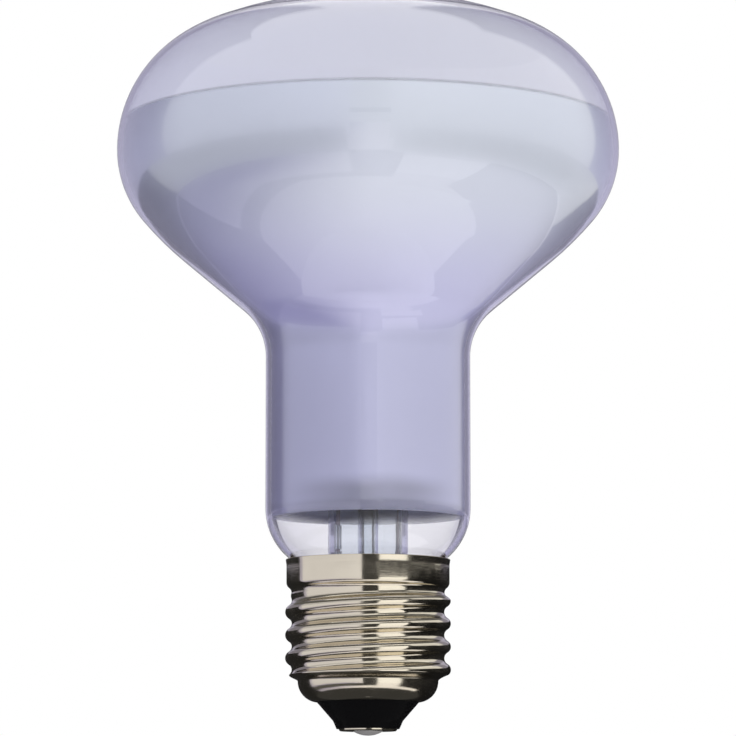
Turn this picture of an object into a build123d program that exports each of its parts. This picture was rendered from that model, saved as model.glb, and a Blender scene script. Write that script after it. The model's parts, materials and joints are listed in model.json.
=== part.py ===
from build123d import *
import math
import os

# Reflector basking lamp with a blown mushroom bulb and an E27 screw cap.
# Millimetres. The origin is the lowest point of the centre contact's solder,
# +Z runs up the lamp's axis to the crown of the dome.

# Bulb, outer surface
head_r = 40.0
neck_r = 16.2
neck_length = 24.0
flare_fillet_r = 9.95
cone_angle = 50.0
cone_blend_r = 54.0
shoulder_angle = 40.3
shoulder_r = 16.8
dome_side_r = 20.8
crown_r = 71.3
glass_wall = 0.8

# Bulb, the sealed end inside the cap
neck_taper_r = 10.3
neck_tuck_r = 3.4
tuck_below_rim = 2.383
seal_gap = 0.5

# Stem
stem_wall = 0.9
pinch_above_neck = 6.2
pinch_blend = 6.0
pinch_height = 8.0
pinch_margin = 1.95
pinch_thickness = 4.4
pinch_corner = 1.6
exhaust_r = 1.6
exhaust_wall = 0.55
exhaust_length = 29.0
blow_hole_r = 0.9
blow_hole_drop = 3.0
rod_r = 1.5
rod_length = 24.0
button_r = 2.4
button_height = 3.4
button_chamfer = 0.8
glass_fit = 0.02

# Wires
lead_spacing = 9.5
seal_wire_r = 0.25
inner_lead_r = 0.4
outer_lead_r = 0.35
side_lead_r = 0.12
lead_bend_r = 1.0
lead_reach = 6.0
stem_lead_length = 9.0
sleeve_r = 0.58
sleeve_bore_r = 0.2
sleeve_length = 3.8
sleeve_gap = 0.07
fuse_r = 0.12

# Filament and what holds it
filament_r = 10.0
filament_coil_r = 0.45
filament_sweep = 220.0
support_count = 3
support_wire_r = 0.15
support_fit = 0.05
clamp_length = 1.6
clamp_wall = 0.25
clamp_fit = 0.02

# Cap shell
shell_wall = 0.3
lip_angle = 79.0
base_corner_r = 3.3
base_corner_z = 8.5
base_r = 11.05
thread_pitch = 3.62
thread_crest_r = 13.03
thread_depth = 1.03
thread_flat = 0.8
thread_rise = 0.9
thread_turns = 3
skirt_r = 12.85
skirt_height = 3.6
groove_depth = 0.85
groove_gap = 3.95
groove_height = 1.6
rim_flare = 0.12
rim_flare_height = 0.8

# Insulator, contact and solder
insulator_below_corner = 0.4
insulator_foot_r = 4.95
insulator_foot_z = 1.05
insulator_edge_r = 5.5
insulator_edge_height = 1.25
insulator_bowl_r = 6.0
insulator_bowl_floor = 3.15
insulator_shelf = 1.0
lead_hole_r = 1.1
contact_margin = 0.4
contact_thickness = 0.35
contact_chamfer = 0.17
contact_hole_r = 0.8
solder_r = 2.4
side_azimuth = 125.0
side_solder_r = 1.7
side_solder_height = 0.75
side_solder_drop = 1.9
side_lead_gap = 0.05
side_channel_fit = 0.2
cement_above_seal = 0.2
cement_below_rim = 1.0
cement_fit = 0.03

# Radii and angles that follow
groove_r = skirt_r - groove_depth
seal_r = groove_r - shell_wall - seal_gap
lip_r = base_r - base_corner_r
half_lead = lead_spacing / 2
pinch_width = lead_spacing + 2 * pinch_margin
stem_tube_r = half_lead + sleeve_r + sleeve_gap + stem_wall
flare_r = seal_r - glass_wall - stem_tube_r
taper_angle = math.acos(1 - (neck_r - seal_r) / (neck_taper_r + neck_tuck_r))
support_step = filament_sweep / (support_count + 1)
lane_inner_r = seal_r + side_lead_r + side_lead_gap
lane_outer_r = skirt_r - shell_wall - side_lead_r - side_lead_gap

# Heights, stacked up from the cap's base
insulator_top_z = base_corner_z - insulator_below_corner
insulator_edge_z = insulator_foot_z + insulator_edge_height
insulator_bowl_z = insulator_foot_z + insulator_bowl_floor
contact_z = insulator_foot_z - contact_thickness
thread_z = base_corner_z + thread_rise
thread_top_z = thread_z + (thread_turns - 0.5) * thread_pitch
groove_z = thread_top_z + groove_gap
skirt_bottom_z = groove_z + groove_height
rim_z = skirt_bottom_z + skirt_height
flare_z = groove_z + stem_wall + flare_r
tuck_z = rim_z - tuck_below_rim
neck_bottom_z = tuck_z + (neck_taper_r + neck_tuck_r) * math.sin(taper_angle)
neck_top_z = neck_bottom_z + neck_length
pinch_start_z = neck_bottom_z + pinch_above_neck
pinch_z = pinch_start_z + pinch_blend
pinch_top_z = pinch_z + pinch_height
rod_top_z = pinch_top_z + rod_length
filament_z = rod_top_z + button_height / 2
stem_lead_z = pinch_start_z - stem_lead_length
sleeve_z = stem_lead_z - sleeve_length
side_lead_z = rim_z - side_solder_drop
cement_bottom_z = groove_z + cement_above_seal
cement_top_z = rim_z - cement_below_rim


def at(r, azimuth, z):
    """Point at a radius, an azimuth in degrees from +X, and a height."""
    turn = math.radians(azimuth)
    return (r * math.cos(turn), r * math.sin(turn), z)


def spin(*edges):
    """Turn a closed outline of radius and height about the lamp's axis."""
    return revolve(Plane.XZ * make_face(Wire(list(edges))), Axis.Z)


def rod(r, start_z, end_z, x=0.0, y=0.0):
    """Plain round bar along Z."""
    height = end_z - start_z
    return Pos(x, y, start_z) * Cylinder(r, height, align=(Align.CENTER, Align.CENTER, Align.MIN))


def wire_along(r, points, bend_r):
    """Round wire along straight runs joined by tangent bends."""
    path = FilletPolyline(*points, radius=bend_r)
    start = Plane(origin=path @ 0, z_dir=path % 0)
    return sweep(start * Circle(r), path=path)


def arc_about(centre, r, start, end):
    """Arc of a profile about a centre, from one angle to another in degrees."""
    return CenterArc(centre, r, start, end - start).edge()


def chords(centre, r, start, end, count):
    """The same arc as a number of straight runs, for thin parts with small bends."""
    arc = arc_about(centre, r, start, end)
    points = [arc @ (k / count) for k in range(count + 1)]
    return [Line(a, b).edge() for a, b in zip(points[:-1], points[1:])]


def bulb_outline(inset):
    """Outline of the bulb's surface, moved inwards by inset, and the axis."""
    taper = math.degrees(taper_angle)
    taper_centre = (neck_r - neck_taper_r, neck_bottom_z)
    tuck = arc_about((seal_r + neck_tuck_r, tuck_z), neck_tuck_r + inset, 180, 180 - taper)
    taper_arc = arc_about(taper_centre, neck_taper_r - inset, -taper, 0)

    # The shoulder chain is worked out from an equator at height zero
    # and then raised so that the flare starts at the neck's top.
    cone = math.radians(cone_angle)
    side = math.radians(shoulder_angle)
    blend_x = head_r - shoulder_r - (cone_blend_r - shoulder_r) * math.cos(side)
    blend_y = (cone_blend_r - shoulder_r) * math.sin(side)
    cone_top = (
        blend_x + cone_blend_r * math.cos(cone),
        blend_y - cone_blend_r * math.sin(cone),
    )
    fillet_top_x = neck_r + flare_fillet_r * (1 - math.cos(cone))
    cone_run = (cone_top[0] - fillet_top_x) / math.tan(cone)
    equator_z = neck_top_z + flare_fillet_r * math.sin(cone) + cone_run - cone_top[1]

    fillet_centre = (neck_r + flare_fillet_r, neck_top_z)
    fillet = arc_about(fillet_centre, flare_fillet_r + inset, 180, 180 - cone_angle)
    blend_centre = (blend_x, equator_z + blend_y)
    blend = arc_about(blend_centre, cone_blend_r - inset, -cone_angle, -shoulder_angle)
    shoulder_centre = (head_r - shoulder_r, equator_z)
    shoulder = arc_about(shoulder_centre, shoulder_r - inset, -shoulder_angle, 0)

    dome_centre_x = head_r - dome_side_r
    crown_drop = math.sqrt((crown_r - dome_side_r) ** 2 - dome_centre_x**2)
    crown_angle = math.degrees(math.atan2(crown_drop, dome_centre_x))
    dome = arc_about((dome_centre_x, equator_z), dome_side_r - inset, 0, crown_angle)
    crown_centre = (0, equator_z - crown_drop)
    crown = arc_about(crown_centre, crown_r - inset, crown_angle, 90)

    foot = Line((0, groove_z), (seal_r - inset, groove_z))
    edges = [
        foot,
        Line(foot @ 1, tuck @ 0),
        tuck,
        taper_arc,
        Line(taper_arc @ 1, fillet @ 0),
        fillet,
        Line(fillet @ 1, blend @ 0),
        blend,
        shoulder,
        dome,
        crown,
        Line(crown @ 1, (0, groove_z)),
    ]
    return [edge.edge() for edge in edges]


def make_glass_envelope():
    """Blown bulb: one wall of even thickness, open at its sealed end."""
    return spin(*bulb_outline(0)) - spin(*bulb_outline(glass_wall))


def make_stem_tube():
    """Trumpet that meets the bulb's end, and the tube above it."""
    centre = (seal_r - glass_wall, flare_z)
    bell = chords(centre, flare_r, -90, -180, 6)
    throat = chords(centre, flare_r + stem_wall, 180, 270, 6)
    outer_wall = Line(bell[-1] @ 1, (stem_tube_r, pinch_start_z))
    top = Line(outer_wall @ 1, (stem_tube_r - stem_wall, pinch_start_z))
    inner_wall = Line(top @ 1, throat[0] @ 0)
    lip = Line(throat[-1] @ 1, bell[0] @ 0)
    return spin(lip.edge(), *bell, outer_wall.edge(), top.edge(), inner_wall.edge(), *throat)


def pinch_section(z):
    """Flattened section of the pressed glass."""
    flat = RectangleRounded(pinch_width, pinch_thickness, pinch_corner)
    return Pos(0, 0, z) * flat


def make_glass_stem():
    """Flare, tube and pressed pinch, with the bores of what is sealed in it."""
    tube = make_stem_tube()
    round_end = Pos(0, 0, pinch_start_z) * Circle(stem_tube_r)
    neck = loft([round_end.face(), pinch_section(pinch_z).face()])
    press = extrude(pinch_section(pinch_z), pinch_height)
    stem = tube + neck + press
    for x in (-half_lead, half_lead):
        stem -= rod(seal_wire_r + glass_fit, pinch_start_z, pinch_top_z, x)
    vent_z = pinch_top_z - blow_hole_drop
    stem -= rod(exhaust_r - exhaust_wall, pinch_start_z, vent_z)
    vent = Cylinder(blow_hole_r, pinch_thickness, align=(Align.CENTER, Align.CENTER, Align.MIN))
    stem -= Pos(0, 0, vent_z) * Rot(-90, 0, 0) * vent
    return stem


def make_exhaust_tube():
    """Tube that the air was drawn through, melted shut at its lower tip."""
    tip_z = pinch_start_z - exhaust_length + exhaust_r
    tube = rod(exhaust_r, tip_z, pinch_start_z)
    tip = Pos(0, 0, tip_z) * Sphere(exhaust_r)
    bore = rod(exhaust_r - exhaust_wall, tip_z, pinch_start_z)
    return tube + tip - bore


def make_support_rod():
    """Glass rod on the pinch, its top melted into a button for the supports."""
    shaft = rod(rod_r, pinch_top_z, rod_top_z)
    button = rod(button_r, rod_top_z, rod_top_z + button_height)
    button = chamfer(button.edges().filter_by(GeomType.CIRCLE), button_chamfer)
    body = shaft + button
    for azimuth in support_azimuths():
        start = at(button_r / 2, azimuth, filament_z)
        outward = at(1, azimuth, 0)
        hole = Plane(origin=start, z_dir=outward) * Cylinder(
            support_wire_r + glass_fit, button_r, align=(Align.CENTER, Align.CENTER, Align.MIN)
        )
        body -= hole
    return body


def support_azimuths():
    """Azimuths of the supports, spread evenly along the filament."""
    first = 90 - filament_sweep / 2
    return [first + support_step * (k + 1) for k in range(support_count)]


def filament_tube(r):
    """Tube from lead to lead, straight from each support to the next."""
    first = 90 - filament_sweep / 2
    azimuths = [first + support_step * k for k in range(support_count + 2)]
    path = Polyline(*[at(filament_r, azimuth, filament_z) for azimuth in azimuths])
    start = Plane(origin=path @ 0, z_dir=path % 0)
    return sweep(start * Circle(r), path=path, transition=Transition.RIGHT)


def make_filament():
    """The coiled wire as one tube of its outer size."""
    return filament_tube(filament_coil_r)


def make_support(azimuth):
    """Wire from the button that ends in a hook under the filament's corner."""
    hook_r = filament_coil_r + support_fit + support_wire_r
    corner = filament_coil_r / math.cos(math.radians(support_step / 2))
    outside_r = filament_r + corner + support_fit + support_wire_r
    points = [
        at(button_r / 2, azimuth, filament_z),
        at(filament_r - 2 * hook_r, azimuth, filament_z),
        at(filament_r - hook_r, azimuth, filament_z - hook_r),
        at(outside_r, azimuth, filament_z - hook_r),
        at(outside_r, azimuth, filament_z + hook_r),
    ]
    path = Polyline(*points)
    start = Plane(origin=path @ 0, z_dir=path % 0)
    return sweep(start * Circle(support_wire_r), path=path, transition=Transition.RIGHT)


def make_inner_lead(side):
    """Lead from the pinch out to the filament's end, which its clamp grips."""
    azimuth = 90 - side * filament_sweep / 2
    x = side * half_lead
    tip = at(filament_r, azimuth, filament_z)
    knee = at(filament_r, azimuth, filament_z - lead_reach)
    points = [(x, 0, pinch_top_z), (x, 0, knee[2] - lead_reach), knee, tip]
    lead = wire_along(inner_lead_r, points, lead_bend_r)
    run = Plane(origin=tip, z_dir=at(1, azimuth + side * support_step / 2 + 90, 0))
    clamp = run * Cylinder(filament_coil_r + clamp_wall, clamp_length)
    return lead + clamp - filament_tube(filament_coil_r + clamp_fit)


def make_seal_wire(x):
    """Thin wire pressed into the pinch, which carries the current through."""
    return rod(seal_wire_r, pinch_start_z, pinch_top_z, x)


def side_lead_points():
    """Route of the lead: down the stem, out under the glass, up between the
    glass and the shell, over the rim and down to its solder on the skirt."""
    turn_z = groove_z - 4 * side_lead_r
    over_z = rim_z + side_lead_r + side_lead_gap
    outside_r = skirt_r + rim_flare + side_lead_r + side_lead_gap
    return [
        (half_lead, 0, pinch_start_z),
        (half_lead, 0, turn_z),
        at(lane_inner_r, side_azimuth, turn_z),
        at(lane_inner_r, side_azimuth, skirt_bottom_z),
        at(lane_outer_r, side_azimuth, rim_z - rim_flare_height),
        at(lane_outer_r + rim_flare, side_azimuth, over_z),
        at(outside_r, side_azimuth, over_z),
        at(outside_r, side_azimuth, side_lead_z),
    ]


def make_side_lead():
    """Lead from the stem to the solder on the cap's rim."""
    return wire_along(side_lead_r, side_lead_points(), side_lead_r * 1.1)


def make_centre_lead():
    """Lead from the fuse down to the centre contact's solder."""
    points = [
        (-half_lead, 0, sleeve_z),
        (-half_lead, 0, insulator_top_z + 8),
        (0, 0, insulator_top_z),
        (0, 0, contact_z),
    ]
    return wire_along(outer_lead_r, points, 3 * outer_lead_r)


def make_stem_lead():
    """Short lead from the seal down to the fuse."""
    return rod(outer_lead_r, stem_lead_z, pinch_start_z, -half_lead)


def make_fuse_wire():
    """Thin wire that melts first, inside its sleeve."""
    return rod(fuse_r, sleeve_z, stem_lead_z, -half_lead)


def make_fuse_sleeve():
    """Glass sleeve round the fuse."""
    sleeve = rod(sleeve_r, sleeve_z, stem_lead_z, -half_lead)
    return sleeve - rod(sleeve_bore_r, sleeve_z, stem_lead_z, -half_lead)


def thread_points(inset):
    """Corners of the rolled thread's profile moved inwards: flats of one width
    on the roots and the crests, with a flank between each and the next."""
    root_r = thread_crest_r - thread_depth
    half_pitch = thread_pitch / 2
    flank = math.atan2(thread_depth, half_pitch - thread_flat)
    narrow = inset * math.tan(flank / 2)
    points = []
    for k in range(thread_turns):
        root_z = thread_z + k * thread_pitch
        crest_z = root_z + half_pitch
        points.append((root_r - inset, root_z - thread_flat / 2 - narrow))
        points.append((root_r - inset, root_z + thread_flat / 2 + narrow))
        points.append((thread_crest_r - inset, crest_z - thread_flat / 2 + narrow))
        points.append((thread_crest_r - inset, crest_z + thread_flat / 2 - narrow))
    return points


def shell_outline(inset):
    """Profile of the shell's surface moved inwards, from its lip to its rim."""
    corner = chords((lip_r, base_corner_z), base_corner_r - inset, -lip_angle, 0, 5)
    swell_r = (groove_depth**2 + groove_height**2) / (4 * groove_depth)
    swell = math.degrees(math.acos(1 - groove_depth / 2 / swell_r))
    hollow = chords((groove_r + swell_r, groove_z), swell_r + inset, 180, 180 - swell, 2)
    skirt_centre = (skirt_r - swell_r, skirt_bottom_z)
    round_over = chords(skirt_centre, swell_r - inset, -swell, 0, 2)
    thread = [corner[-1] @ 1, *thread_points(inset), hollow[0] @ 0]
    top = [
        round_over[-1] @ 1,
        (skirt_r - inset, rim_z - rim_flare_height),
        (skirt_r + rim_flare - inset, rim_z),
    ]
    return [
        *corner,
        *Polyline(*thread).edges(),
        *hollow,
        *round_over,
        *Polyline(*top).edges(),
    ]


def shell_body(inset):
    """Solid body of the shell's surface, moved inwards by inset."""
    edges = shell_outline(inset)
    low = edges[0] @ 0
    high = edges[-1] @ 1
    floor = Line((0, low.Y), low).edge()
    lid = Line(high, (0, high.Y)).edge()
    axis = Line((0, high.Y), (0, low.Y)).edge()
    return spin(floor, *edges, lid, axis)


def make_screw_shell():
    """Shell pressed and rolled from thin plated sheet."""
    outer = shell_outline(0)
    inner = shell_outline(shell_wall)
    rim = Line(outer[-1] @ 1, inner[-1] @ 1).edge()
    lip = Line(inner[0] @ 0, outer[0] @ 0).edge()
    return spin(*outer, rim, *inner, lip)


def make_cap_insulator():
    """Black glass moulded into the shell's base, with a hole for the lead."""
    lip = shell_outline(shell_wall)[0] @ 0
    shelf_r = base_r - shell_wall - insulator_shelf
    foot = Polyline(
        (0, insulator_foot_z),
        (insulator_foot_r, insulator_foot_z),
        (insulator_edge_r, insulator_edge_z),
        (lip.X, lip.Y),
        (0, lip.Y),
        close=True,
    )
    bowl = Polyline(
        (0, insulator_bowl_z),
        (insulator_bowl_r, insulator_bowl_z),
        (shelf_r, insulator_top_z),
        (0, insulator_top_z),
        close=True,
    )
    seat = shell_body(shell_wall) & rod(base_r, lip.Y, insulator_top_z)
    body = spin(*foot.edges()) + seat - spin(*bowl.edges())
    return body - rod(lead_hole_r, insulator_foot_z, insulator_bowl_z)


def make_centre_contact():
    """Round plate under the insulator, with a hole that the lead comes out of."""
    plate = rod(insulator_foot_r - contact_margin, contact_z, insulator_foot_z)
    plate = chamfer(plate.edges().sort_by(Axis.Z)[0], contact_chamfer)
    return plate - rod(contact_hole_r, contact_z, insulator_foot_z)


def make_centre_solder():
    """Drop of solder over the contact's hole, and the plug inside the hole."""
    drop_r = (solder_r**2 + contact_z**2) / (2 * contact_z)
    drop = Pos(0, 0, drop_r) * Sphere(drop_r)
    drop &= rod(solder_r, 0, contact_z)
    plug = rod(contact_hole_r, contact_z, insulator_foot_z)
    lead = rod(outer_lead_r, contact_z, insulator_foot_z)
    return drop + plug - lead


def make_side_solder():
    """Flat blob of solder on the skirt, over the end of the side lead."""
    ball_r = (side_solder_r**2 + side_solder_height**2) / (2 * side_solder_height)
    centre = at(skirt_r + side_solder_height - ball_r, side_azimuth, side_lead_z)
    ball = Pos(*centre) * Sphere(ball_r)
    blob = ball - rod(skirt_r, 0, head_r) - shell_body(0)
    return blob - make_side_lead()


def make_basing_cement():
    """Ring of cement between the bulb's end and the skirt."""
    top = rod(head_r, cement_bottom_z, cement_top_z)
    ring = shell_body(shell_wall + cement_fit) & top
    ring -= spin(*bulb_outline(-cement_fit))
    channel_r = (lane_outer_r - lane_inner_r) / 2 + side_lead_r + side_channel_fit
    lane = at((lane_inner_r + lane_outer_r) / 2, side_azimuth, 0)
    channel = rod(channel_r, cement_bottom_z, cement_top_z, lane[0], lane[1])
    return ring - channel


os.makedirs("parts", exist_ok=True)


def write(shape, name):
    """Write one sub-part."""
    export_step(shape, "parts/" + name + ".step")


write(make_glass_envelope(), "glass_envelope")
write(make_glass_stem(), "glass_stem")
write(make_exhaust_tube(), "exhaust_tube")
write(make_support_rod(), "support_rod")
write(make_filament(), "filament")
for index, azimuth in enumerate(support_azimuths(), start=1):
    write(make_support(azimuth), f"filament_support_{index}")
for name, side in (("left", -1), ("right", 1)):
    write(make_inner_lead(side), f"inner_lead_{name}")
    write(make_seal_wire(side * half_lead), f"seal_wire_{name}")
write(make_stem_lead(), "stem_lead")
write(make_fuse_wire(), "fuse_wire")
write(make_fuse_sleeve(), "fuse_sleeve")
write(make_centre_lead(), "centre_lead")
write(make_side_lead(), "side_lead")
write(make_screw_shell(), "screw_shell")
write(make_cap_insulator(), "cap_insulator")
write(make_centre_contact(), "centre_contact")
write(make_centre_solder(), "centre_solder")
write(make_side_solder(), "side_solder")
write(make_basing_cement(), "basing_cement")
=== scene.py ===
import json
import math

import bpy
import numpy as np
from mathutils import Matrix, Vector


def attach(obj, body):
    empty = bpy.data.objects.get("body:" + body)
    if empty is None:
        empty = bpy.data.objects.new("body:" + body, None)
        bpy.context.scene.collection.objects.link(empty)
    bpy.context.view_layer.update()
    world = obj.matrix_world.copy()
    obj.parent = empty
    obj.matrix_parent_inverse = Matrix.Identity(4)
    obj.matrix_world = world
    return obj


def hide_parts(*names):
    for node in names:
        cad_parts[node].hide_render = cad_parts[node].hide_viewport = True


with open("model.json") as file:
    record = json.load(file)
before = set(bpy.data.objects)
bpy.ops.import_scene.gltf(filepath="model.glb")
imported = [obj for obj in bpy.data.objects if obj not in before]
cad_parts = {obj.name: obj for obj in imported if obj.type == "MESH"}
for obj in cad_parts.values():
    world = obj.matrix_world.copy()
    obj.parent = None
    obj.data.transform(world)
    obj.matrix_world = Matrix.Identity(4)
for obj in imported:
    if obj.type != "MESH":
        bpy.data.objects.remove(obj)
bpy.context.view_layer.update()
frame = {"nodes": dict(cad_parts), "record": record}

# A reflector basking lamp: blown lavender glass with a mirrored body, a frosted dome and a
# clear ring low in its neck, on a nickel-plated screw cap. The lamp's sizes are millimetres up
# to the mesh functions, which write metres. The camera and the stage are in metres.
MM = 0.001

# Bulb
HEAD_R = 40.0
NECK_R = 16.2
NECK_BOTTOM_Z = 35.8
NECK_TOP_Z = 59.8
FLARE_FILLET_R = 9.95
CONE_ANGLE = 50.0
CONE_BLEND_R = 54.0
SHOULDER_ANGLE = 40.3
SHOULDER_R = 16.8
DOME_SIDE_R = 20.8
CROWN_R = 71.3
GLASS_WALL = 0.8
NECK_TAPER_R = 10.3
NECK_TUCK_R = 3.4
SEAL_R = 11.2
SEAL_Z = 22.4

# Coatings inside the glass
COAT_GAP = 0.02
COAT_THICKNESS = 0.05
FROST_END_Z = 96.5
FROST_FULL_Z = 97.3
MIRROR_TOP_Z = 97.6
MIRROR_FULL_Z = 36.6
MIRROR_END_Z = 34.2
MIRROR_END_COVER = 0.3
LAVENDER_BELOW_Z = 66.0
SILVER_ABOVE_Z = 83.0

# The mirror's lower edge and the painted shade above it wander up and down by up to EDGE_WANDER.
# The painted shade's heights, from where it starts to where it has gone, have that wander added.
EDGE_WANDER = 2.4
EDGE_WANDER_MIDDLE = 1.0
PAINTED_SHADE_START_Z = 35.0
PAINTED_SHADE_FULL_Z = 37.0
PAINTED_SHADE_FADES_Z = 38.5
PAINTED_SHADE_GONE_Z = 41.5
# The painted shade is darkest about this spot on the front of the neck, towards the camera, and
# fades out by the end radius.
PAINTED_SHADE_SPOT = (1.0, -16.0, 37.5)
PAINTED_SHADE_SPOT_R = 3.0
PAINTED_SHADE_SPOT_END_R = 16.0

# Cap
SHELL_WALL = 0.3
LIP_ANGLE = 79.0
BASE_CORNER_R = 3.3
BASE_CORNER_Z = 8.5
BASE_R = 11.05
THREAD_PITCH = 3.62
THREAD_CREST_R = 13.03
THREAD_ROOT_R = 12.0
THREAD_FIRST_CREST_Z = 10.3
THREAD_START_Z = 9.6
THREAD_END_Z = 21.2
GROOVE_R = 12.05
GROOVE_Z = 22.4
SKIRT_R = 12.85
SKIRT_BOTTOM_Z = 24.0
RIM_Z = 27.6
RIM_FLARE = 0.12
RIM_FLARE_HEIGHT = 0.8

# Meshes
BULB_SEGMENTS = 160
BULB_STEP = 1.2
SHELL_SEGMENTS = 192
THREAD_ROWS = 112
ARC_STEP = 3.0

# Camera
CAMERA_PLACE = (0.0, -0.620, -0.020)
CAMERA_AIM = (0.0, 0.0, 0.0581)
CAMERA_LENS = 192.7
SENSOR_WIDTH = 36.0

# Strengths of light. What is seen or mirrored of the room has strength 1, and matt faces get
# ROOM_LIGHT times a share that falls from the horizon to the zenith.
ROOM_LIGHT = 1.66
HORIZON_SHARE = 1.08
ZENITH_SHARE = 0.8
FLOOR_GLOW = 1.1

# Stage. A card's place is its distance from the axis and its low and high edges, and it
# shows up to its reach.
FLOOR_Z = -0.3
FLOOR_HALF = 3.0
FLOOR_DIM_X = -0.4
CARD_SEGMENTS = 47
ROOM_HIGH = (0.9, FLOOR_Z, 0.9)
OVER_THE_CAMERA = (0.9, 0.125, 0.2)
BEHIND_THE_LAMP = (0.9, FLOOR_Z, 1.6)
ROUND_THE_NECK = (0.1, 0.036, 0.075)
ROUND_THE_CAP = (0.1, -0.06, 0.04)
BESIDE_THE_CAP = (0.1, -0.2, 0.034)
UNDER_THE_CAP = (0.1, -0.06, -0.03)
ANY_DISTANCE = 9.0


def arc(centre_r, centre_z, r, start, end):
    """Points of an arc: the centre plus r times the cosine and sine of evenly spaced angles."""
    count = max(2, int(abs(end - start) / ARC_STEP) + 2)
    angle = np.radians(np.linspace(start, end, count))
    return np.stack([centre_r + r * np.cos(angle), centre_z + r * np.sin(angle)], axis=1)


def run(start, end, step=1.0):
    """Points of a straight run: evenly spaced shares of the way from start to end."""
    start, end = np.asarray(start, float), np.asarray(end, float)
    count = max(2, int(np.linalg.norm(end - start) / step) + 2)
    return start + (end - start) * np.linspace(0, 1, count)[:, None]


def join(*pieces):
    """One profile from several, without the points that two pieces share."""
    points = np.concatenate(pieces)
    apart = np.linalg.norm(np.diff(points, axis=0), axis=1) > 1e-6
    return points[np.concatenate([[True], apart])]


def bulb_profile(inset):
    """Radius and height of the bulb's surface moved inwards, from its sealed end to its crown.

    The profile is a chain of arcs, each tangent to the next: the two arcs of the tapered
    end, the neck, the flare's fillet, the cone, its blend, the shoulder, the dome's side and
    the crown. Moving it inwards takes the inset from each radius that bulges outwards and
    adds it to each that curves in.
    """
    taper = math.acos(1 - (NECK_R - SEAL_R) / (NECK_TAPER_R + NECK_TUCK_R))
    tuck_z = NECK_BOTTOM_Z - (NECK_TAPER_R + NECK_TUCK_R) * math.sin(taper)
    degrees = math.degrees(taper)
    tuck = arc(SEAL_R + NECK_TUCK_R, tuck_z, NECK_TUCK_R + inset, 180, 180 - degrees)
    bulge = arc(NECK_R - NECK_TAPER_R, NECK_BOTTOM_Z, NECK_TAPER_R - inset, -degrees, 0)

    cone = math.radians(CONE_ANGLE)
    side = math.radians(SHOULDER_ANGLE)
    blend_r = HEAD_R - SHOULDER_R - (CONE_BLEND_R - SHOULDER_R) * math.cos(side)
    blend_rise = (CONE_BLEND_R - SHOULDER_R) * math.sin(side)
    cone_top_r = blend_r + CONE_BLEND_R * math.cos(cone)
    cone_top_drop = CONE_BLEND_R * math.sin(cone) - blend_rise
    fillet_r = NECK_R + FLARE_FILLET_R
    fillet_top_r = NECK_R + FLARE_FILLET_R * (1 - math.cos(cone))
    fillet_rise = FLARE_FILLET_R * math.sin(cone)
    cone_rise = (cone_top_r - fillet_top_r) / math.tan(cone)
    equator_z = NECK_TOP_Z + fillet_rise + cone_rise + cone_top_drop
    blend_z = equator_z + blend_rise

    fillet = arc(fillet_r, NECK_TOP_Z, FLARE_FILLET_R + inset, 180, 180 - CONE_ANGLE)
    blend = arc(blend_r, blend_z, CONE_BLEND_R - inset, -CONE_ANGLE, -SHOULDER_ANGLE)
    shoulder = arc(HEAD_R - SHOULDER_R, equator_z, SHOULDER_R - inset, -SHOULDER_ANGLE, 0)
    dome_r = HEAD_R - DOME_SIDE_R
    crown_drop = math.sqrt((CROWN_R - DOME_SIDE_R) ** 2 - dome_r**2)
    crown_angle = math.degrees(math.atan2(crown_drop, dome_r))
    dome = arc(dome_r, equator_z, DOME_SIDE_R - inset, 0, crown_angle)
    crown = arc(0, equator_z - crown_drop, CROWN_R - inset, crown_angle, 90)
    crown[-1, 0] = 0.0
    return join(
        run((SEAL_R - inset, SEAL_Z), tuck[0]),
        tuck,
        bulge,
        run(bulge[-1], fillet[0]),
        fillet,
        run(fillet[-1], blend[0]),
        blend,
        shoulder,
        dome,
        crown,
    )


def bulb_face(inset):
    """The bulb's profile with its points at most a step apart."""
    profile = bulb_profile(inset)
    return join(*[run(a, b, BULB_STEP) for a, b in zip(profile[:-1], profile[1:])])


def between(profile, low_z, high_z):
    """The stretch of a rising profile between two heights, cut exactly at both."""
    r, z = profile[:, 0], profile[:, 1]
    inside = profile[(z > low_z) & (z < high_z)]
    low = np.array([[np.interp(low_z, z, r), max(low_z, z[0])]])
    high = np.array([[np.interp(high_z, z, r), min(high_z, z[-1])]])
    return join(low, inside, high)


def all_round(rows, segments):
    """Rows of values with one for each segment, where a row can be a single value."""
    rows = rows if rows.ndim == 2 else rows[:, None]
    return np.broadcast_to(rows, (len(rows), segments))


def lathe(name, radius, height, segments):
    """Closed surface swept by rows of points round the axis.

    Point (i, j) lies at radius[i, j] and height[i, j], at azimuth 360 j / segments. A row of
    zero radius is one point, the pole. Quads join each row to the next, and the last row to
    the first.
    """
    azimuth = np.arange(segments) * 2 * math.pi / segments
    radius, height = all_round(radius, segments), all_round(height, segments)
    grid = [radius * np.cos(azimuth), radius * np.sin(azimuth), height]
    grid = np.stack(grid, axis=2) * MM
    pole = np.abs(radius).max(axis=1) < 1e-9
    size = np.where(pole, 1, segments)
    first = np.concatenate([[0], np.cumsum(size)[:-1]])
    vertices = np.concatenate([row[:count] for row, count in zip(grid, size)])
    near = np.arange(segments)
    far = (near + 1) % segments
    faces = []
    for low in range(len(grid)):
        high = (low + 1) % len(grid)
        if pole[low] and pole[high]:
            continue
        if pole[high]:
            ring = [first[low] + near, first[low] + far, np.full(segments, first[high])]
        elif pole[low]:
            ring = [np.full(segments, first[low]), first[high] + far, first[high] + near]
        else:
            ring = [first[low] + near, first[low] + far, first[high] + far, first[high] + near]
        faces.extend(np.stack(ring, axis=1).tolist())
    mesh = bpy.data.meshes.new(name)
    mesh.from_pydata(vertices.tolist(), [], faces)
    mesh.polygons.foreach_set("use_smooth", np.ones(len(mesh.polygons), dtype=bool))
    mesh.update()
    return place_mesh(name, mesh)


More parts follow.
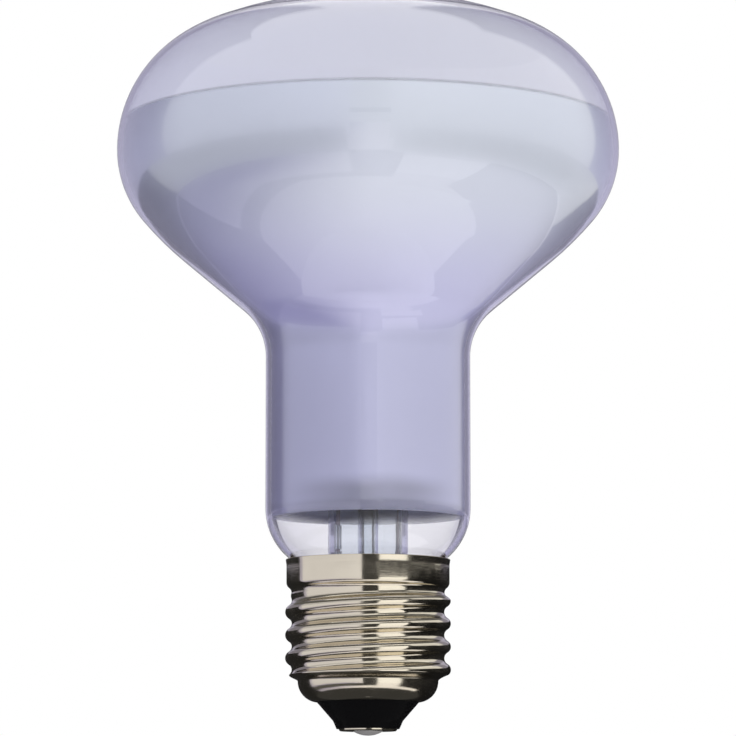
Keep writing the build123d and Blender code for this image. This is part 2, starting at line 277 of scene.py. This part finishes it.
def place_mesh(name, mesh):
    """An object of this mesh in the scene."""
    piece = bpy.data.objects.new(name, mesh)
    bpy.context.scene.collection.objects.link(piece)
    return piece


def skin(name, outer, inner, segments):
    """Closed wall between an outer and an inner profile that both rise from low to high."""
    rows = np.concatenate([outer, inner[::-1]])
    return lathe(name, rows[:, 0], rows[:, 1], segments)


def linear(code):
    """Linear red, green, blue and alpha of an sRGB hex colour."""
    value = np.array([int(code[i : i + 2], 16) for i in (1, 3, 5)]) / 255
    value = np.where(value <= 0.04045, value / 12.92, ((value + 0.055) / 1.055) ** 2.4)
    return (*value.tolist(), 1.0)


def add(tree, kind, links=None, **settings):
    """Adds a node: links maps an input to a value or to another node's output."""
    made = tree.nodes.new(kind)
    for key, value in settings.items():
        setattr(made, key, value)
    for key, value in (links or {}).items():
        if isinstance(value, bpy.types.NodeSocket):
            tree.links.new(value, made.inputs[key])
        else:
            made.inputs[key].default_value = value
    return made


def combine(tree, operation, first, second):
    """The result of one operation on two numbers."""
    return add(tree, "ShaderNodeMath", {0: first, 1: second}, operation=operation).outputs[0]


def ramp(tree, value, low, high, start=0.0, end=1.0, curve="LINEAR"):
    """A number that goes from start, where the value is low, to end, where it is high."""
    limits = {"Value": value, "From Min": low, "From Max": high, "To Min": start, "To Max": end}
    return add(tree, "ShaderNodeMapRange", limits, interpolation_type=curve).outputs[0]


def smooth(tree, value, low, high, start=0.0, end=1.0):
    """The same ramp, eased at both ends."""
    return ramp(tree, value, low, high, start, end, curve="SMOOTHSTEP")


def between_numbers(tree, share, first, second):
    """The number at this share of the way from the first to the second."""
    ends = {"Factor": share, "A": first, "B": second}
    return add(tree, "ShaderNodeMix", ends, data_type="FLOAT").outputs[0]


def between_colours(tree, share, first, second):
    """The colour at this share of the way from the first to the second."""
    ends = {"Factor": share, 6: first, 7: second}
    return add(tree, "ShaderNodeMix", ends, data_type="RGBA").outputs[2]


def axes(tree, place):
    """The three parts of a place, by the names of their axes."""
    return add(tree, "ShaderNodeSeparateXYZ", {"Vector": place}).outputs


def noise(tree, place, scale, detail):
    """Cloudy noise with about this many patches to a metre."""
    settings = {"Vector": place, "Scale": scale, "Detail": detail}
    return add(tree, "ShaderNodeTexNoise", settings).outputs["Fac"]


def uneven(tree, place, scale, detail, strength, depth):
    """The tilt of a surface that noise raises by up to the depth, in metres."""
    height = noise(tree, place, scale, detail)
    settings = {"Height": height, "Strength": strength, "Distance": depth}
    return add(tree, "ShaderNodeBump", settings).outputs["Normal"]


def material(name):
    """An empty node material, with its tree, its output and the place on the piece."""
    made = bpy.data.materials.new(name)
    made.use_nodes = True
    tree = made.node_tree
    tree.nodes.clear()
    out = add(tree, "ShaderNodeOutputMaterial")
    return made, tree, out, add(tree, "ShaderNodeTexCoord").outputs["Object"]


def surface(tree, out, settings):
    """Makes a shader of these settings the material's surface."""
    shader = add(tree, "ShaderNodeBsdfPrincipled", settings)
    tree.links.new(shader.outputs[0], out.inputs["Surface"])


def lavender_glass():
    """Neodymium glass, blown: it swallows yellow, so it looks lavender, and more so edge on."""
    made, tree, out, place = material("neodymium_glass_blown")
    settings = {
        "Base Color": (1, 1, 1, 1),
        "Roughness": 0.0,
        "IOR": 1.52,
        "Transmission Weight": 1.0,
        "Normal": uneven(tree, place, 45.0, 1.0, 0.05, 0.0004),
    }
    surface(tree, out, settings)
    tint = add(tree, "ShaderNodeVolumeAbsorption", {"Color": linear("#9f94dd"), "Density": 100.0})
    tree.links.new(tint.outputs[0], out.inputs["Volume"])
    return made


def mirror_coat():
    """Aluminium evaporated on etched glass: a satin mirror, thinning out at its lower edge.

    It turns from lavender to silver up the head, and above its lower edge lies a dark band of
    painted shade, which is darkest about one spot on the front.
    """
    made, tree, out, place = material("aluminium_evaporated_satin")
    cloud = noise(tree, place, 60.0, 2.0)
    height = axes(tree, place)["Z"]
    wander = combine(tree, "MULTIPLY", cloud, EDGE_WANDER * MM)
    level = combine(tree, "ADD", height, wander)
    edge = [(z + EDGE_WANDER_MIDDLE) * MM for z in (MIRROR_END_Z, MIRROR_FULL_Z)]
    cover = smooth(tree, level, *edge, MIRROR_END_COVER, 1.0)
    tone = smooth(tree, height, LAVENDER_BELOW_Z * MM, SILVER_ABOVE_Z * MM)
    colour = between_colours(tree, tone, linear("#d5d7f0"), linear("#e3eaf0"))
    # Painted shade: a darker band just above the mirror's lower edge, strongest about the spot on
    # the front.
    rise = smooth(tree, level, PAINTED_SHADE_START_Z * MM, PAINTED_SHADE_FULL_Z * MM)
    fall = smooth(tree, level, PAINTED_SHADE_FADES_Z * MM, PAINTED_SHADE_GONE_Z * MM, 0.75, 0.0)
    painted_shade_band = combine(tree, "MULTIPLY", rise, fall)
    ends = {0: place, 1: [value * MM for value in PAINTED_SHADE_SPOT]}
    away = add(tree, "ShaderNodeVectorMath", ends, operation="DISTANCE").outputs["Value"]
    spot = smooth(tree, away, PAINTED_SHADE_SPOT_R * MM, PAINTED_SHADE_SPOT_END_R * MM, 1.5, 0.1)
    patches = combine(tree, "MULTIPLY", spot, cloud)
    painted_shade = combine(tree, "MULTIPLY", painted_shade_band, patches)
    settings = {
        # The painted shade pulls the base colour towards #6f7080.
        "Base Color": between_colours(tree, painted_shade, colour, linear("#6f7080")),
        "Metallic": 1.0,
        "Roughness": 0.36,
        "Alpha": cover,
        "Normal": uneven(tree, place, 1200.0, 2.0, 0.08, 0.0001),
    }
    surface(tree, out, settings)
    return made


def frost_coat():
    """Silica frost inside the dome: matt white, thinning out over the mirror's upper edge."""
    made, tree, out, place = material("silica_frost")
    height = axes(tree, place)["Z"]
    settings = {
        "Base Color": linear("#e2e5eb"),
        "Roughness": 0.7,
        "Alpha": smooth(tree, height, FROST_END_Z * MM, FROST_FULL_Z * MM),
        "Normal": uneven(tree, place, 900.0, 3.0, 0.1, 0.0001),
    }
    surface(tree, out, settings)
    return made


def clear_glass():
    """Lead glass of the stem, drawn and pressed in a flame."""
    made, tree, out, place = material("lead_glass_flame_worked")
    settings = {
        "Base Color": linear("#f4f7fa"),
        "Roughness": 0.0,
        "IOR": 1.56,
        "Transmission Weight": 1.0,
        "Normal": uneven(tree, place, 260.0, 1.0, 0.1, 0.0002),
    }
    surface(tree, out, settings)
    return made


def nickel_plate():
    """Nickel on rolled brass sheet: bright and warm, with faint rolling lines and haze."""
    made, tree, out, place = material("nickel_plated_rolled_brass")
    stretch = {"Vector": place, "Scale": (1.0, 1.0, 9.0)}
    lines = add(tree, "ShaderNodeMapping", stretch).outputs[0]
    haze = noise(tree, place, 240.0, 4.0)
    settings = {
        "Base Color": linear("#dcd3c0"),
        "Metallic": 1.0,
        "Roughness": ramp(tree, haze, 0.35, 0.7, 0.08, 0.2),
        "Normal": uneven(tree, lines, 420.0, 3.0, 0.12, 0.00005),
    }
    surface(tree, out, settings)
    return made


def black_glass():
    """Black glass moulded hot into the cap's base: glossy, with a soft moulded ripple."""
    made, tree, out, place = material("black_glass_moulded")
    settings = {
        "Base Color": linear("#0b0b0c"),
        "Roughness": 0.16,
        "IOR": 1.52,
        "Specular IOR Level": 0.25,
        "Normal": uneven(tree, place, 300.0, 2.0, 0.25, 0.0002),
    }
    surface(tree, out, settings)
    return made


def soft_metal(name, colour, roughness, scale, depth, bare=1.0):
    """A metal with a fine uneven surface, and its bare share where a dull skin covers the rest."""
    made, tree, out, place = material(name)
    settings = {
        "Base Color": linear(colour),
        "Metallic": bare,
        "Roughness": roughness,
        "Normal": uneven(tree, place, scale, 3.0, 0.4, depth),
    }
    surface(tree, out, settings)
    return made


def cement():
    """Baked basing cement: buff, matt and gritty."""
    made, tree, out, place = material("basing_cement_baked")
    settings = {
        "Base Color": linear("#b9ab92"),
        "Roughness": 0.85,
        "Normal": uneven(tree, place, 1500.0, 4.0, 0.6, 0.0001),
    }
    surface(tree, out, settings)
    return made


def paint(piece, coat):
    """Gives the piece one material."""
    piece.data.materials.clear()
    piece.data.materials.append(coat)


def finish_piece(piece, coat, slot, *nodes):
    """Paints a new piece, seats it on the lamp and hides what it stands for. The slot is not used.
    """
    paint(piece, coat)
    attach(piece, "root")
    if nodes:
        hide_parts(*nodes)


def make_coat(name, inset, low_z, high_z):
    """A thin skin at an inset under the glass's outer face, between two heights."""
    faces = []
    for depth in (inset, inset + COAT_THICKNESS):
        face = bulb_face(depth)
        faces.append(between(face, low_z, min(high_z, face[-1, 1])))
    return skin(name, *faces, BULB_SEGMENTS)


def make_bulb():
    """The glass and the two coatings inside it, the frost before the mirror."""
    glass = skin("bulb_glass", bulb_face(0), bulb_face(GLASS_WALL), BULB_SEGMENTS)
    finish_piece(glass, lavender_glass(), "lavender_glass", "glass_envelope")
    frost_inset = GLASS_WALL + COAT_GAP
    frost = make_coat("frost_coat", frost_inset, FROST_END_Z, math.inf)
    finish_piece(frost, frost_coat(), "lavender_glass")
    mirror_inset = frost_inset + COAT_THICKNESS + COAT_GAP
    mirror = make_coat("mirror_coat", mirror_inset, MIRROR_END_Z, MIRROR_TOP_Z)
    finish_piece(mirror, mirror_coat(), "lavender_glass")


def thread_radius(azimuth, z, inset):
    """Radius of the rolled thread: arcs of one radius for crests and roots, repeated every
    pitch, and raised by a pitch for each turn of azimuth."""
    depth = THREAD_CREST_R - THREAD_ROOT_R
    arc_r = (THREAD_PITCH**2 / 16 + depth**2 / 4) / depth
    turn = (z - THREAD_FIRST_CREST_Z) / THREAD_PITCH - azimuth / (2 * math.pi)
    place = (turn - np.floor(turn)) * THREAD_PITCH
    from_crest = np.minimum(place, THREAD_PITCH - place)
    from_root = np.abs(place - THREAD_PITCH / 2)
    crest = THREAD_CREST_R - arc_r + np.sqrt(np.maximum(arc_r**2 - from_crest**2, 0))
    root = THREAD_ROOT_R + arc_r - np.sqrt(np.maximum(arc_r**2 - from_root**2, 0))
    return np.where(from_crest <= THREAD_PITCH / 4, crest, root) - inset


def ease(value, start, end):
    """Smooth step from 0 at start to 1 at end."""
    share = np.clip((value - start) / (end - start), 0, 1)
    return share * share * (3 - 2 * share)


def shell_rows(inset):
    """Rows of radius and height up the shell's surface, moved inwards: the base's corner arc,
    the thread, which eases in and out of plain circles, the groove, the skirt and the rim."""
    azimuth = np.arange(SHELL_SEGMENTS) * 2 * math.pi / SHELL_SEGMENTS
    lip_r = BASE_R - BASE_CORNER_R
    corner = arc(lip_r, BASE_CORNER_Z, BASE_CORNER_R - inset, -LIP_ANGLE, 0)
    z = np.linspace(BASE_CORNER_Z, GROOVE_Z, THREAD_ROWS)[1:-1]
    plain = np.where(z < (THREAD_START_Z + THREAD_END_Z) / 2, BASE_R, GROOVE_R) - inset
    share = ease(z, BASE_CORNER_Z, THREAD_START_Z) * (1 - ease(z, THREAD_END_Z, GROOVE_Z))
    rolled = thread_radius(azimuth[None, :], z[:, None], inset)
    threaded = plain[:, None] * (1 - share[:, None]) + rolled * share[:, None]

    step = SKIRT_R - GROOVE_R
    rise = SKIRT_BOTTOM_Z - GROOVE_Z
    swell_r = (step**2 + rise**2) / (4 * step)
    swell = math.degrees(math.asin(rise / 2 / swell_r))
    hollow = arc(GROOVE_R + swell_r, GROOVE_Z, swell_r + inset, 180, 180 - swell)
    round_over = arc(SKIRT_R - swell_r, SKIRT_BOTTOM_Z, swell_r - inset, -swell, 0)
    flare_z = RIM_Z - RIM_FLARE_HEIGHT
    wall = run(round_over[-1], (SKIRT_R - inset, flare_z), step=0.4)
    flare = run(wall[-1], (SKIRT_R + RIM_FLARE - inset, RIM_Z), step=0.1)
    top = join(hollow, round_over, wall, flare)
    full = np.ones(SHELL_SEGMENTS)
    radius = np.concatenate([corner[:, :1] * full, threaded, top[:, :1] * full])
    height = np.concatenate([corner[:, 1:] * full, z[:, None] * full, top[:, 1:] * full])
    return radius, height


def make_cap():
    """The shell, with its finely rolled thread."""
    outer_r, outer_z = shell_rows(0)
    inner_r, inner_z = shell_rows(SHELL_WALL)
    radius = np.concatenate([outer_r, inner_r[::-1]])
    height = np.concatenate([outer_z, inner_z[::-1]])
    shell = lathe("cap_shell", radius, height, SHELL_SEGMENTS)
    finish_piece(shell, nickel_plate(), "nickel_plate", "screw_shell")


def paint_nodes():
    """Materials of the CAD pieces that stay."""
    coats = {
        "clear_glass": clear_glass(),
        "tungsten": soft_metal("tungsten_coiled", "#6d6b6c", 0.45, 2500.0, 0.00005),
        "nickel_wire": soft_metal("nickel_wire_drawn", "#8f8d8a", 0.3, 2000.0, 0.00002),
        "copper_wire": soft_metal("copper_wire_drawn", "#8b7f86", 0.35, 2000.0, 0.00002),
        "solder": soft_metal("tin_solder_set", "#c4c3c1", 0.34, 700.0, 0.0001, bare=0.6),
        "black_glass": black_glass(),
        "nickel_plate": nickel_plate(),
        "cement": cement(),
    }
    for part in frame["record"]["subparts"]:
        if part["material_slot"] in coats:
            paint(frame["nodes"][part["node"]], coats[part["material_slot"]])


def make_camera():
    """The photograph's view: 620 mm from the axis, a little below the cap, looking up."""
    data = bpy.data.cameras.new("camera")
    data.sensor_width = SENSOR_WIDTH
    data.lens = CAMERA_LENS
    camera = bpy.data.objects.new("camera", data)
    camera.location = CAMERA_PLACE
    aim = Vector(CAMERA_AIM) - camera.location
    camera.rotation_euler = aim.to_track_quat("-Z", "Y").to_euler()
    bpy.context.scene.collection.objects.link(camera)
    bpy.context.scene.camera = camera


def lights_matt_face(tree):
    """0 where the light is looked at or mirrored, 1 where it falls on a matt face."""
    path = add(tree, "ShaderNodeLightPath")
    return ramp(tree, path.outputs["Diffuse Depth"], 0.0, 1.0)


def looked_through(tree):
    """1 for a ray that came straight through glass, so that the clear ring shows a white room."""
    path = add(tree, "ShaderNodeLightPath").outputs
    turned = combine(tree, "ADD", path["Glossy Depth"], path["Diffuse Depth"])
    straight = combine(tree, "LESS_THAN", turned, 0.5)
    return combine(tree, "MULTIPLY", path["Is Transmission Ray"], straight)


def make_world():
    """A white room, seen and mirrored at strength 1, and on matt faces brighter from the sides."""
    world = bpy.data.worlds.new("room")
    bpy.context.scene.world = world
    world.use_nodes = True
    tree = world.node_tree
    tree.nodes.clear()
    way = axes(tree, add(tree, "ShaderNodeTexCoord").outputs["Generated"])["Z"]
    sky = ramp(tree, way, 0.0, 1.0, ROOM_LIGHT * HORIZON_SHARE, ROOM_LIGHT * ZENITH_SHARE)
    strength = between_numbers(tree, lights_matt_face(tree), 1.0, sky)
    glow = add(tree, "ShaderNodeBackground", {"Color": (1, 1, 1, 1), "Strength": strength})
    out = add(tree, "ShaderNodeOutputWorld")
    tree.links.new(glow.outputs[0], out.inputs["Surface"])


def either_glow(tree, out, share, first, second):
    """Makes the surface the first shader where the share is 0 and the second where it is 1."""
    mix = add(tree, "ShaderNodeMixShader", {0: share, 1: first.outputs[0], 2: second.outputs[0]})
    tree.links.new(mix.outputs[0], out.inputs["Surface"])


def card_material(name, sides, width, rise, tall, colour, clear, reach):
    """A card that glows from its left strength to its right one across its width in X, times a
    factor that grows from 1 at its foot to the rise at its top. Through clear glass it has the
    clear strength, and from farther away than its reach it has the floor's."""
    made, tree, out, place = material(name)
    across = axes(tree, place)
    fade = ramp(tree, across["X"], *width, *sides)
    climb = ramp(tree, across["Z"], *tall, 1.0, rise)
    plain = combine(tree, "MULTIPLY", fade, climb)
    path = add(tree, "ShaderNodeLightPath")
    far = combine(tree, "GREATER_THAN", path.outputs["Ray Length"], reach)
    near = between_numbers(tree, far, plain, FLOOR_GLOW)
    strength = between_numbers(tree, lights_matt_face(tree), near, ROOM_LIGHT)
    glow = add(tree, "ShaderNodeEmission", {"Color": linear(colour), "Strength": strength})
    white = add(tree, "ShaderNodeEmission", {"Color": (1, 1, 1, 1), "Strength": clear})
    either_glow(tree, out, looked_through(tree), glow, white)
    return made


def make_card(
    name,
    span,
    place,
    sides,
    rise=1.0,
    through=True,
    colour="#ffffff",
    clear=1.0,
    foot=None,
    reach=ANY_DISTANCE,
):
    """A curved card round the lamp that only gloss, metal and, if through, coated glass show.

    Its span of azimuth runs from the camera's side, to the right. Its sides are the strengths
    at its left and right ends. Its low edge lies at the foot's distance, or at the high edge's.
    """
    distance, low, high = place
    foot = distance if foot is None else foot
    count = CARD_SEGMENTS + 1
    azimuth = np.radians(np.linspace(*span, count) - 90)
    vertices = [(foot * math.cos(a), foot * math.sin(a), low) for a in azimuth]
    vertices += [(distance * math.cos(a), distance * math.sin(a), high) for a in azimuth]
    faces = [(i, i + 1, count + i + 1, count + i) for i in range(CARD_SEGMENTS)]
    mesh = bpy.data.meshes.new(name)
    mesh.from_pydata(vertices, [], faces)
    card = place_mesh(name, mesh)
    width = (vertices[count][0], vertices[-1][0])
    paint(card, card_material(name, sides, width, rise, (low, high), colour, clear, reach))
    card.visible_camera = False
    card.visible_diffuse = False
    card.visible_shadow = False
    card.visible_transmission = through


def make_floor():
    """The floor, far below the hanging lamp. It is white to the eye, and dimmer to the left
    where metal mirrors it or its light falls on the lamp."""
    corners = [(-1, -1), (1, -1), (1, 1), (-1, 1)]
    mesh = bpy.data.meshes.new("floor")
    vertices = [(x * FLOOR_HALF, y * FLOOR_HALF, FLOOR_Z) for x, y in corners]
    mesh.from_pydata(vertices, [], [(0, 1, 2, 3)])
    floor = place_mesh("floor", mesh)
    made, tree, out, place = material("pale_floor")
    path = add(tree, "ShaderNodeLightPath")
    seen = combine(tree, "MAXIMUM", path.outputs["Is Camera Ray"], looked_through(tree))
    share = ramp(tree, axes(tree, place)["X"], FLOOR_DIM_X, 0.0)
    tone = between_colours(tree, share, linear("#9b98ac"), linear("#e6e4e5"))
    plain = add(tree, "ShaderNodeBsdfDiffuse", {"Color": tone})
    glow = add(tree, "ShaderNodeEmission", {"Color": (1, 1, 1, 1), "Strength": 1.0})
    either_glow(tree, out, seen, plain, glow)
    paint(floor, made)


def make_softboxes():
    """The softboxes before the lamp, the dimmer cards that its neck mirrors and the flag over
    the camera."""
    left, right = (-105.0, -8.0), (10.0, 124.0)
    soft = "#f8f8ff"
    make_card("softbox_left", left, ROOM_HIGH, (0.84, 0.94), rise=1.2, colour=soft)
    make_card("softbox_right", right, ROOM_HIGH, (1.0, 1.0), rise=1.2)
    make_card("neck_front_left", left, ROUND_THE_NECK, (0.66, 0.74), colour=soft)
    make_card("neck_front_right", right, ROUND_THE_NECK, (0.94, 0.88))
    make_card("flag_camera", (-8.0, 10.0), OVER_THE_CAMERA, (0.2, 0.2), through=False)


def make_flags():
    """The dark cards beside and behind the lamp, which draw the dark edges of its glass."""
    cool = {"colour": "#e8e5ff", "clear": 0.06}
    make_card("flag_left", (-168.0, -105.0), BEHIND_THE_LAMP, (0.74, 0.74), rise=0.3, **cool)
    make_card("flag_right", (124.0, 168.0), BEHIND_THE_LAMP, (0.84, 0.84), rise=0.15, **cool)
    make_card("neck_left", (-150.0, -105.0), ROUND_THE_NECK, (0.3, 0.3), **cool)
    make_card("neck_right", (124.0, 150.0), ROUND_THE_NECK, (0.36, 0.36), **cool)
    back = {"through": False, "colour": cool["colour"]}
    make_card("flag_back", (168.0, 192.0), ROOM_HIGH, (0.3, 0.3), **back)


def make_cap_cards():
    """The dark cards close round the cap, and among them the bright one that makes its glint."""
    glint = (0.1, -0.03, 0.0315)
    over_glint = (0.05, 0.0262, 0.038)
    below, over = (0.03, -0.015, -0.015), (0.03, 0.031, 0.031)
    cards = [
        ("near_left", (-180.0, -106.0), BESIDE_THE_CAP, 0.02, {}),
        ("near_middle", (-8.0, 15.0), ROUND_THE_CAP, 0.05, {}),
        ("near_glint", (15.0, 54.0), glint, 1.28, {}),
        ("glint_over", (14.0, 56.0), over_glint, 0.06, {"reach": 0.045}),
        ("near_right", (54.0, 104.0), ROUND_THE_CAP, 0.01, {}),
        ("near_right_side", (104.0, 180.0), BESIDE_THE_CAP, 0.01, {}),
        ("near_edge", (-106.0, -8.0), UNDER_THE_CAP, 0.1, {}),
        ("disc_below", (-180.0, 180.0), below, 0.05, {"foot": 0.0005, "reach": 0.055}),
        ("ring_over", (-180.0, 180.0), over, 0.12, {"foot": 0.0176, "reach": 0.035}),
    ]
    for name, span, place, strength, settings in cards:
        make_card(name, span, place, (strength, strength), through=False, **settings)


make_camera()
make_world()
make_softboxes()
make_flags()
make_cap_cards()
make_floor()
make_bulb()
make_cap()
paint_nodes()
bpy.context.scene.view_settings.view_transform = "Standard"
